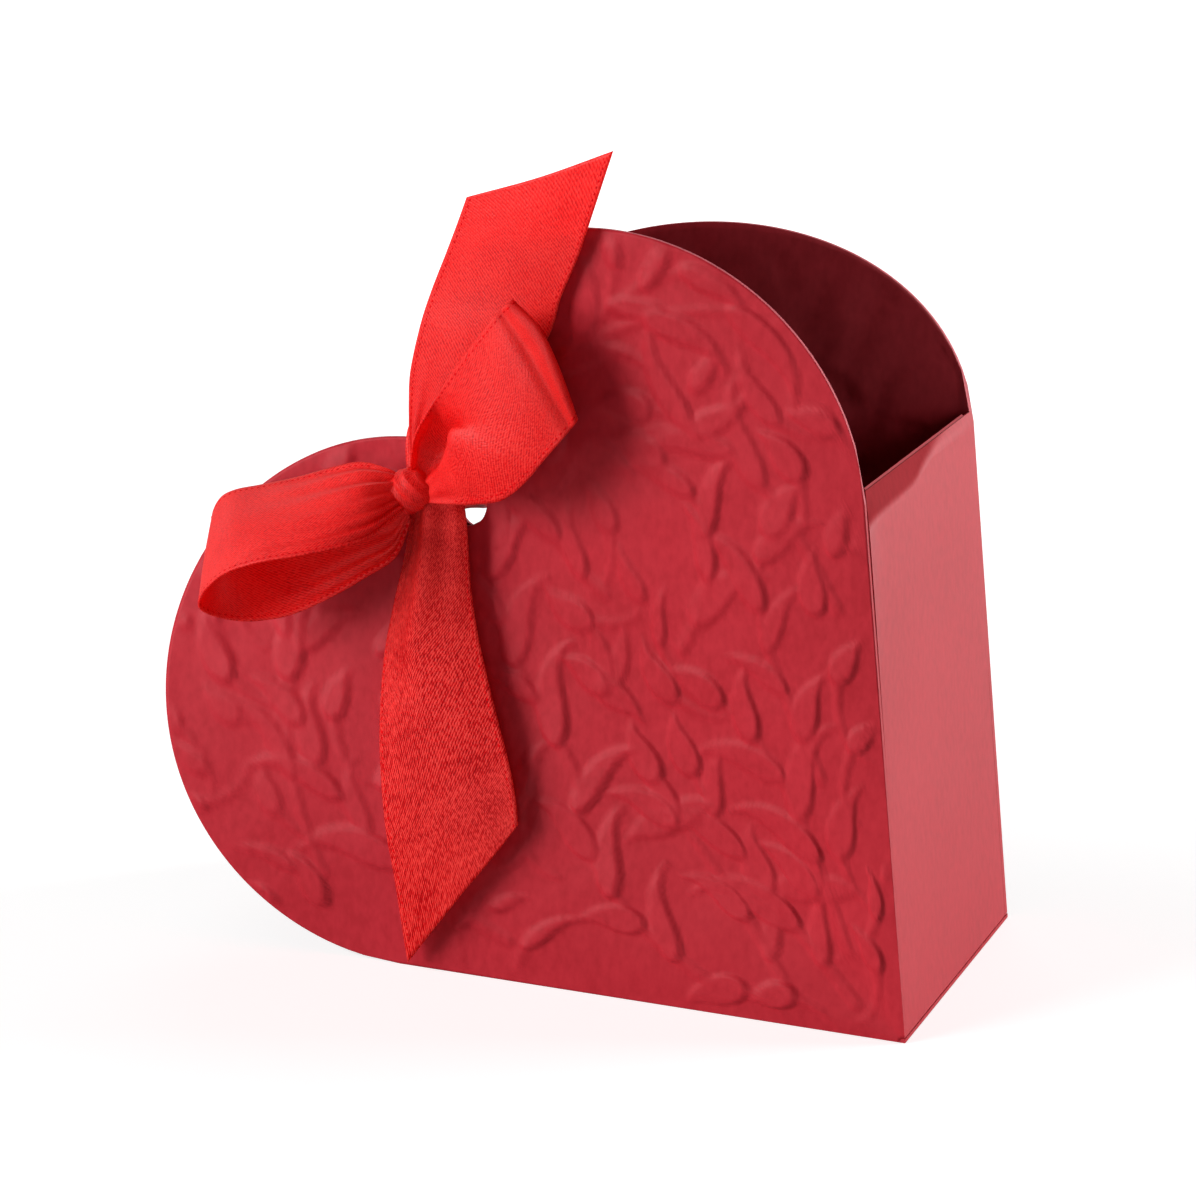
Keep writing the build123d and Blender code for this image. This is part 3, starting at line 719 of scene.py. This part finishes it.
def makeBeadTree():
    tree = bpy.data.node_groups.new("selvedgeBeads", "GeometryNodeTree")
    face = tree.interface
    face.new_socket("Geometry", in_out="INPUT", socket_type="NodeSocketGeometry")
    kinds = {"pitch": "Float", "width": "Float", "stretch": "Float", "thread": "Material"}
    sockets = {key: face.new_socket(key, in_out="INPUT", socket_type="NodeSocket" + kind).identifier
               for key, kind in kinds.items()}
    face.new_socket("Geometry", in_out="OUTPUT", socket_type="NodeSocketGeometry")
    start, end = tree.nodes.new("NodeGroupInput"), tree.nodes.new("NodeGroupOutput")
    path = addNode(tree, "GeometryNodeMeshToCurve", Mesh=start.outputs["Geometry"])
    spots = addNode(tree, "GeometryNodeCurveToPoints", {"mode": "LENGTH"}, Curve=path.outputs["Curve"],
                    Length=start.outputs["pitch"])
    bead = addNode(tree, "GeometryNodeMeshUVSphere", Segments=selvedge["segments"], Rings=selvedge["rings"],
                   Radius=start.outputs["width"])
    turn = addNode(tree, "FunctionNodeAlignRotationToVector", {"axis": "Z"}, Vector=spots.outputs["Tangent"])
    size = addNode(tree, "ShaderNodeCombineXYZ", X=1.0, Y=1.0, Z=start.outputs["stretch"])
    copies = addNode(tree, "GeometryNodeInstanceOnPoints", Points=spots.outputs["Points"],
                     Instance=bead.outputs["Mesh"], Rotation=turn.outputs["Rotation"],
                     Scale=size.outputs["Vector"])
    real = addNode(tree, "GeometryNodeRealizeInstances", Geometry=copies.outputs["Instances"])
    dyed = addNode(tree, "GeometryNodeSetMaterial", Geometry=real.outputs["Geometry"],
                   Material=start.outputs["thread"])
    tree.links.new(dyed.outputs["Geometry"], end.inputs["Geometry"])
    return tree, sockets


beadTree, beadSockets = makeBeadTree()
threadMaterial = makeGrained("selvedgeThread", threadLook)


def makeSelvedge(name, grid):
    points, edges = [], []
    for share in (selvedge["edgeShare"], 1 - selvedge["edgeShare"]):
        at = share * (grid.shape[1] - 1)
        i = int(at)
        line = grid[:, i] + (grid[:, i + 1] - grid[:, i]) * (at - i)
        first = np.searchsorted(travelledAlong(line)[1:], selvedge["start"])
        line = line[first:-selvedge["endSteps"]]
        edges += [(len(points) + k, len(points) + k + 1) for k in range(len(line) - 1)]
        points += list(line)
    mesh = bpy.data.meshes.new(name + "Path")
    mesh.from_pydata([tuple(p * mm) for p in points], edges, [])
    holder = addObject(name + "Path", mesh)
    nodes = holder.modifiers.new("beads", "NODES")
    nodes.node_group = beadTree
    for key in ("pitch", "width", "stretch"):
        nodes[beadSockets[key]] = selvedge[key]
    nodes[beadSockets["thread"]] = threadMaterial
    seen = holder.evaluated_get(bpy.context.evaluated_depsgraph_get())
    made = bpy.data.meshes.new_from_object(seen)
    bpy.data.objects.remove(holder)
    made.polygons.foreach_set("use_smooth", [True] * len(made.polygons))
    return addObject(name, made)


def stripMesh(name, grid, length, cloth):
    along, across = grid.shape[0] - 1, grid.shape[1] - 1
    piece = addMesh(name, grid.reshape(-1, 3), gridFaces(along + 1, across + 1))
    acrossAt, alongAt = np.meshgrid(np.linspace(0, ribbon["width"], across + 1),
                                    np.linspace(0, length, along + 1))
    setWeave(piece.data, np.stack([acrossAt.ravel(), alongAt.ravel()], 1))
    piece.data.materials.append(cloth)
    thicken(piece, ribbon["thickness"], 0)
    return piece


def ribbonPiece(name, node, body, grid, edged=True, cloth=satin):
    length = np.linalg.norm(np.diff(grid[:, grid.shape[1] // 2], axis=0), axis=1).sum()
    piece = stripMesh(name, grid, length, cloth)
    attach(piece, body)
    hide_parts(node)
    beads = []
    if edged:
        beads = [makeSelvedge(name + "Selvedge", grid)]
        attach(beads[0], body)


# a strip from its rows, its steps along and across, and its pleats: number, height, reach, at both ends
def laidGrid(strip):
    grid = ribbonGrid([[spot(*p) for p in row] for row in strip["rows"]], *strip["steps"])
    return gather(grid, *strip["pleats"])


# lower tail: rows of (photo x, photo y, mm off the panel) from the knot to the slanting cut
lowerTail = {"steps": (120, 48), "pleats": (4.0, 0.16, 9.0, False), "rows": [
    [(415, 500, 2.4), (422, 500, 3.3), (427, 500, 3.7), (445, 501, 3.0), (464, 502, 2.0)],
    [(410, 530, 1.5), (417, 530, 2.6), (424, 529, 3.9), (444, 527, 3.3), (467, 525, 2.4)],
    [(405, 558, 1.1), (413, 559, 2.4), (421, 559, 3.9), (444, 557, 3.3), (469, 555, 2.3)],
    [(394, 606, 1.1), (405, 605, 2.2), (417, 602, 3.7), (444, 598, 3.2), (472, 595, 2.3)],
    [(384, 662, 1.3), (397, 658, 2.2), (413, 654, 3.2), (446, 650, 3.1), (480, 645, 2.4)],
    [(380, 739, 1.6), (400, 731, 2.4), (424, 723, 2.9), (458, 714, 2.9), (494, 705, 2.4)],
    [(385, 820, 1.7), (412, 806, 2.3), (441, 791, 2.6), (474, 776, 2.6), (508, 760, 2.3)],
    [(395, 880, 1.7), (422, 860, 2.1), (452, 839, 2.4), (483, 817, 2.4), (515, 795, 2.2)],
    [(408, 962, 1.5), (434, 929, 1.9), (461, 895, 2.2), (490, 861, 2.2), (518, 825, 2.1)]]}
ribbonPiece("lowerTail", "ribbon_lower_tail", "lower_tail", laidGrid(lowerTail),
            cloth=satinDarker)

# upper tail, standing behind the right loop
upperTail = {"steps": (110, 48), "pleats": (4.0, 0.18, 8.0, False), "rows": [
    [(411, 470, 2.2), (420, 468, 2.2), (432, 468, 2.1)],
    [(409, 429, 2.0), (432, 434, 2.0), (460, 440, 1.8)],
    [(409, 400, 2.0), (450, 402, 2.2), (500, 402, 1.7)],
    [(411, 369, 2.1), (468, 369, 2.3), (530, 367, 1.6)],
    [(421, 324, 2.1), (486, 329, 2.2), (551, 331, 1.3)],
    [(432, 290, 2.0), (497, 295, 1.9), (561, 297, 1.2)],
    [(446, 254, 2.0), (512, 257, 1.8), (578, 257, 1.2)],
    [(457, 225, 2.0), (525, 222, 1.8), (592, 215, 1.3)],
    [(467, 197, 2.0), (540, 177, 1.8), (613, 151, 1.6)]]}
ribbonPiece("upperTail", "ribbon_upper_tail", "upper_tail", laidGrid(upperTail))

# left loop: out along the upper strip, round the end, back along the lower strip; front selvedge first
leftLoop = {"steps": (170, 56), "pleats": (6.0, 0.34, 8.5, True), "rows": [
    [(411, 503, 4.4), (405, 488, 4.4), (403, 476, 3.8)],
    [(392, 519, 6.6), (386, 492, 6.2), (384, 468, 4.4)],
    [(369, 537, 9.2), (362, 498, 8.4), (361, 463, 4.6)],
    [(338, 547, 11.6), (332, 506, 9.4), (333, 468, 4.6)],
    [(300, 555, 13.2), (298, 515, 9.8), (300, 477, 4.3)],
    [(260, 562, 13.6), (260, 523, 9.8), (262, 485, 4.0)],
    [(228, 572, 13.2), (231, 530, 9.4), (236, 490, 3.8)],
    [(209, 586, 12.6), (215, 543, 8.8), (221, 498, 3.6)],
    [(199, 602, 11.6), (205, 558, 8.0), (213, 514, 3.4)],
    [(203, 611, 10.4), (208, 568, 6.2), (216, 526, 2.7)],
    [(222, 618, 8.8), (223, 572, 4.9), (228, 524, 2.1)],
    [(252, 621, 7.2), (249, 567, 4.1), (248, 512, 1.8)],
    [(290, 615, 6.0), (287, 558, 3.6), (286, 500, 1.8)],
    [(330, 598, 5.0), (328, 545, 3.3), (328, 490, 2.0)],
    [(366, 577, 4.2), (364, 533, 3.2), (364, 488, 2.2)],
    [(396, 556, 3.6), (393, 524, 3.2), (392, 490, 2.6)],
    [(411, 520, 3.6), (408, 506, 3.5), (405, 492, 3.2)]]}
ribbonPiece("leftLoop", "ribbon_left_loop", "box", laidGrid(leftLoop))

# right loop: front strip out to the sharp fold, then back behind; left selvedge first
rightLoop = {"steps": (170, 56), "pleats": (5.0, 0.14, 5.0, True), "rows": [
    [(411, 473, 4.4), (414, 476, 4.0), (420, 482, 4.0), (428, 484, 4.6), (430, 493, 5.0), (430, 503, 5.0)],
    [(412, 454, 5.2), (418, 457, 3.3), (438, 466, 3.1), (440, 469, 5.6), (446, 487, 5.9), (450, 504, 5.6)],
    [(415, 436, 5.8), (421, 441, 3.3), (452, 452, 3.1), (447, 449, 6.4), (462, 478, 6.7), (476, 504, 6.0)],
    [(425, 416, 6.3), (433, 422, 4.4), (456, 432, 4.0), (453, 431, 6.8), (478, 466, 7.2), (502, 500, 6.6)],
    [(441, 390, 6.6), (452, 402, 6.6), (465, 416, 6.8), (480, 429, 7.2), (500, 456, 7.4), (524, 484, 6.9)],
    [(474, 343, 6.8), (496, 379, 7.2), (518, 416, 7.3), (546, 458, 6.8)],
    [(492, 320, 6.8), (515, 357, 7.0), (536, 395, 7.0), (562, 440, 6.5)],
    [(501, 309, 6.2), (526, 346, 6.3), (547, 384, 6.3), (571, 429, 5.9)],
    [(507, 304, 6.3), (533, 336, 6.4), (553, 374, 6.4), (575, 424, 5.9)],
    [(512, 300, 5.6), (538, 328, 5.8), (557, 366, 5.8), (577, 420, 5.4)],
    [(509, 304, 4.9), (535, 333, 5.0), (554, 370, 5.0), (574, 423, 4.7)],
    [(480, 335, 4.4), (505, 370, 4.4), (525, 405, 4.4), (548, 452, 4.2)],
    [(450, 375, 4.2), (470, 405, 4.0), (490, 435, 3.9), (515, 470, 3.8)],
    [(430, 415, 3.2), (445, 432, 2.7), (455, 450, 2.6), (474, 480, 2.7)],
    [(419, 455, 2.8), (427, 464, 2.6), (434, 470, 2.6), (442, 482, 2.7)],
    [(415, 478, 3.0), (418, 481, 2.9), (420, 484, 2.9), (424, 490, 3.0)]]}
ribbonPiece("rightLoop", "ribbon_right_loop", "box", laidGrid(rightLoop))
print("ribbon strips laid")


# strand through the holes and over the cleft: the ribbon folded back and forth into narrow pleats
strand = {"halfDepth": 0.72, "halfSpread": 0.66, "folds": 9, "across": 100, "steps": 100, "twist": 0.1,
          "phase": 0.3, "foldRound": 0.985, "taper": 0.8, "splineOrder": 3, "splineSteps": 24}
bandRoute = [(-24.6, -15.5, 46.4), (-24.9, -14.5, 47.6), (-25.3, -14.0, 49.4), (-25.5, -13.1, 51.2),
             (-25.5, -11.2, 51.2), (-25.4, -9.2, 49.2), (-25.0, -6.0, 46.6), (-23.9, -3.5, 44.6),
             (-22.3, -2.9, 42.9), (-21.5, -4.6, 42.7), (-21.3, -10.0, 44.0), (-21.2, -14.2, 44.7),
             (-22.2, -15.5, 45.3), (-23.5, -15.6, 45.8)]


# points along a route's smooth spline, evenly spaced, with a frame that turns as little as it can
def alongRoute(name, route, steps):
    curve = bpy.data.curves.new(name + "Route", "CURVE")
    curve.dimensions = "3D"
    spline = curve.splines.new("NURBS")
    spline.points.add(len(route) - 1)
    for point, place in zip(spline.points, route):
        point.co = (*place, 1)
    spline.order_u = strand["splineOrder"]
    spline.use_endpoint_u = True
    curve.resolution_u = strand["splineSteps"]
    holder = bpy.data.objects.new(name + "Route", curve)
    line = bpy.data.meshes.new_from_object(holder)
    places = np.array([v.co for v in line.vertices])
    bpy.data.objects.remove(holder)
    travelled = travelledAlong(places)
    at = np.linspace(0, travelled[-1], steps + 1)
    places = np.stack([np.interp(at, travelled, places[:, k]) for k in range(3)], 1)
    ahead = np.gradient(places, axis=0)
    ahead /= np.linalg.norm(ahead, axis=1)[:, None]
    side = np.cross(ahead[0], [0, 0, 1.0])
    sides = []
    for k in range(steps + 1):
        side = side - ahead[k] * (side @ ahead[k])
        side /= np.linalg.norm(side)
        sides.append(side)
    sides = np.array(sides)
    return at, places, sides, np.cross(ahead, sides)


def pleatedGrid(name, route, shape):
    at, places, sides, others = alongRoute(name, route, shape["steps"])
    share = np.linspace(-1, 1, shape["across"] + 1)
    folded = np.sin(np.pi * shape["folds"] * (share + 1) / 2 + shape["phase"])
    zigzag = 2 / np.pi * np.arcsin(folded * shape["foldRound"])
    reach = np.sqrt(1 - shape["taper"] * share ** 2)
    turn = shape["twist"] * at[:, None]
    deep = shape["halfDepth"] * reach * zigzag
    wide = shape["halfSpread"] * share
    offA = deep[None, :] * np.cos(turn) - wide[None, :] * np.sin(turn)
    offB = deep[None, :] * np.sin(turn) + wide[None, :] * np.cos(turn)
    return places[:, None, :] + offA[..., None] * sides[:, None, :] + offB[..., None] * others[:, None, :]


bandGrid = pleatedGrid("ribbonStrand", bandRoute, strand)
ribbonPiece("ribbonStrand", "ribbon_band", "box", bandGrid, False)

# knot: a ridged wrap round the middle of the bow
knot = {"centre": (-24.4, -16.9, 46.15), "length": 4.3, "axis": (0.72, -0.12, 0.68), "sides": 64, "steps": 72,
        "ridges": 4.5, "ridgeHeight": 0.13, "ridgeDepth": 1.6, "slant": 0.05, "slantTurn": 0.6, "waver": 0.02,
        "oval": 0.05, "ovalTurn": 1.1, "weaveAcross": 6, "weaveRound": 1.6,
        "radii": [0.8, 1.5, 1.8, 1.9, 1.84, 1.6, 0.9]}


def makeKnot():
    axisDir = np.array(knot["axis"]) / np.linalg.norm(knot["axis"])
    side = np.cross(axisDir, [0, 1.0, 0])
    side /= np.linalg.norm(side)
    other = np.cross(axisDir, side)
    sides, steps = knot["sides"], knot["steps"]
    share, turns = np.linspace(0, 1, steps + 1), np.linspace(0, 2 * np.pi, sides, endpoint=False)
    radius = smoothLine(np.array(knot["radii"])[:, None], steps + 1)[:, 0]
    slant = (share[:, None] + knot["slant"] * np.sin(turns + knot["slantTurn"])[None, :]
             + knot["waver"] * np.sin(3 * turns)[None, :])
    ring = radius[:, None] * (1 + knot["oval"] * np.sin(2 * turns + knot["ovalTurn"]))[None, :]
    groove = np.abs(np.sin(np.pi * knot["ridges"] * slant))
    ring = ring + knot["ridgeHeight"] * (1 - groove * knot["ridgeDepth"])
    centre = np.array(knot["centre"]) + axisDir * (share[:, None] - 0.5) * knot["length"]
    points = (centre[:, None, :] + ring[..., None] * (np.cos(turns)[None, :, None] * side
                                                      + np.sin(turns)[None, :, None] * other))
    faces = [(k * sides + i, k * sides + (i + 1) % sides, (k + 1) * sides + (i + 1) % sides,
              (k + 1) * sides + i) for k in range(steps) for i in range(sides)]
    faces += [tuple(range(sides))[::-1], tuple(steps * sides + i for i in range(sides))]
    piece = addMesh("ribbonKnot", points.reshape(-1, 3), faces)
    setWeave(piece.data, np.stack([np.repeat(share * knot["weaveAcross"], sides),
                                   np.tile(turns * knot["weaveRound"], steps + 1)], 1))
    piece.data.materials.append(satin)
    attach(piece, "box")
    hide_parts("ribbon_knot")


makeKnot()
print("strand and knot tied")

# studio: pale floor and surround that show white to the camera, and soft lamps
stage = {"floor": {"Base Color": (0.62, 0.62, 0.62, 1), "Roughness": 0.9, "Specular IOR Level": 0.1},
         "floorSize": 6000.0, "floorDrop": 0.00005, "floorLift": 0.66, "liftFrom": 0.09, "liftTo": 0.5,
         "skyStrength": 0.04}
# name, place, target, size, power
lamps = [("leftSoftbox", (-0.66, -0.62, 0.3), (0, 0, 0.035), 0.55, 10.6),
         ("rightSoftbox", (0.66, 0.44, 0.2), (0, 0, 0.03), 0.4, 8.2),
         ("frontSoftbox", (0.25, -0.95, 0.04), (0, 0, 0.035), 0.36, 1.5),
         ("backSoftbox", (-0.2, 0.6, 0.72), (0, 0, 0.05), 0.5, 1.0)]


def makeStage():
    h = stage["floorSize"] / 2
    corners = np.array([(-h, -h, 0), (h, -h, 0), (h, h, 0), (-h, h, 0)])
    floor = addMesh("floor", corners, [(0, 1, 2, 3)], False)
    floor.location.z = -stage["floorDrop"]
    material, tree, shader = newMaterial("whiteFloor")
    setInputs(tree, shader, stage["floor"])
    path = addNode(tree, "ShaderNodeLightPath")
    reach = addNode(tree, "ShaderNodeVectorMath", {"operation": "LENGTH"},
                    i0=addNode(tree, "ShaderNodeTexCoord").outputs["Object"])
    rise = addNode(tree, "ShaderNodeMapRange", {"interpolation_type": "SMOOTHSTEP"},
                   Value=reach.outputs["Value"], i1=stage["liftFrom"], i2=stage["liftTo"],
                   i3=stage["floorLift"], i4=1.0)
    shown = maths(tree, "MULTIPLY", path.outputs["Is Camera Ray"], rise.outputs[0])
    lift = addNode(tree, "ShaderNodeEmission", Color=(1, 1, 1, 1), Strength=shown)
    both = addNode(tree, "ShaderNodeAddShader", i0=shader.outputs["BSDF"], i1=lift.outputs["Emission"])
    tree.links.new(both.outputs["Shader"], tree.nodes["Material Output"].inputs["Surface"])
    floor.data.materials.append(material)
    world = bpy.data.worlds.new("surround")
    scene.world = world
    world.use_nodes = True
    tree = world.node_tree
    path = addNode(tree, "ShaderNodeLightPath")
    seen = maths(tree, "MAXIMUM", path.outputs["Is Camera Ray"], path.outputs["Is Glossy Ray"])
    seen = maths(tree, "MAXIMUM", seen, path.outputs["Is Transmission Ray"])
    strength = addNode(tree, "ShaderNodeMapRange", Value=seen, i3=stage["skyStrength"], i4=1.0)
    setInputs(tree, tree.nodes["Background"], {"Color": (1, 1, 1, 1), "Strength": strength.outputs[0]})


def addLamp(name, place, target, size, power):
    data = bpy.data.lights.new(name, "AREA")
    data.shape = "SQUARE"
    data.size = size
    data.energy = power
    lamp = addObject(name, data)
    lamp.location = place
    lamp.rotation_mode = "QUATERNION"
    lamp.rotation_quaternion = (Vector(target) - Vector(place)).to_track_quat("-Z", "Y")


makeStage()
for lamp in lamps:
    addLamp(*lamp)
print("stage lit")
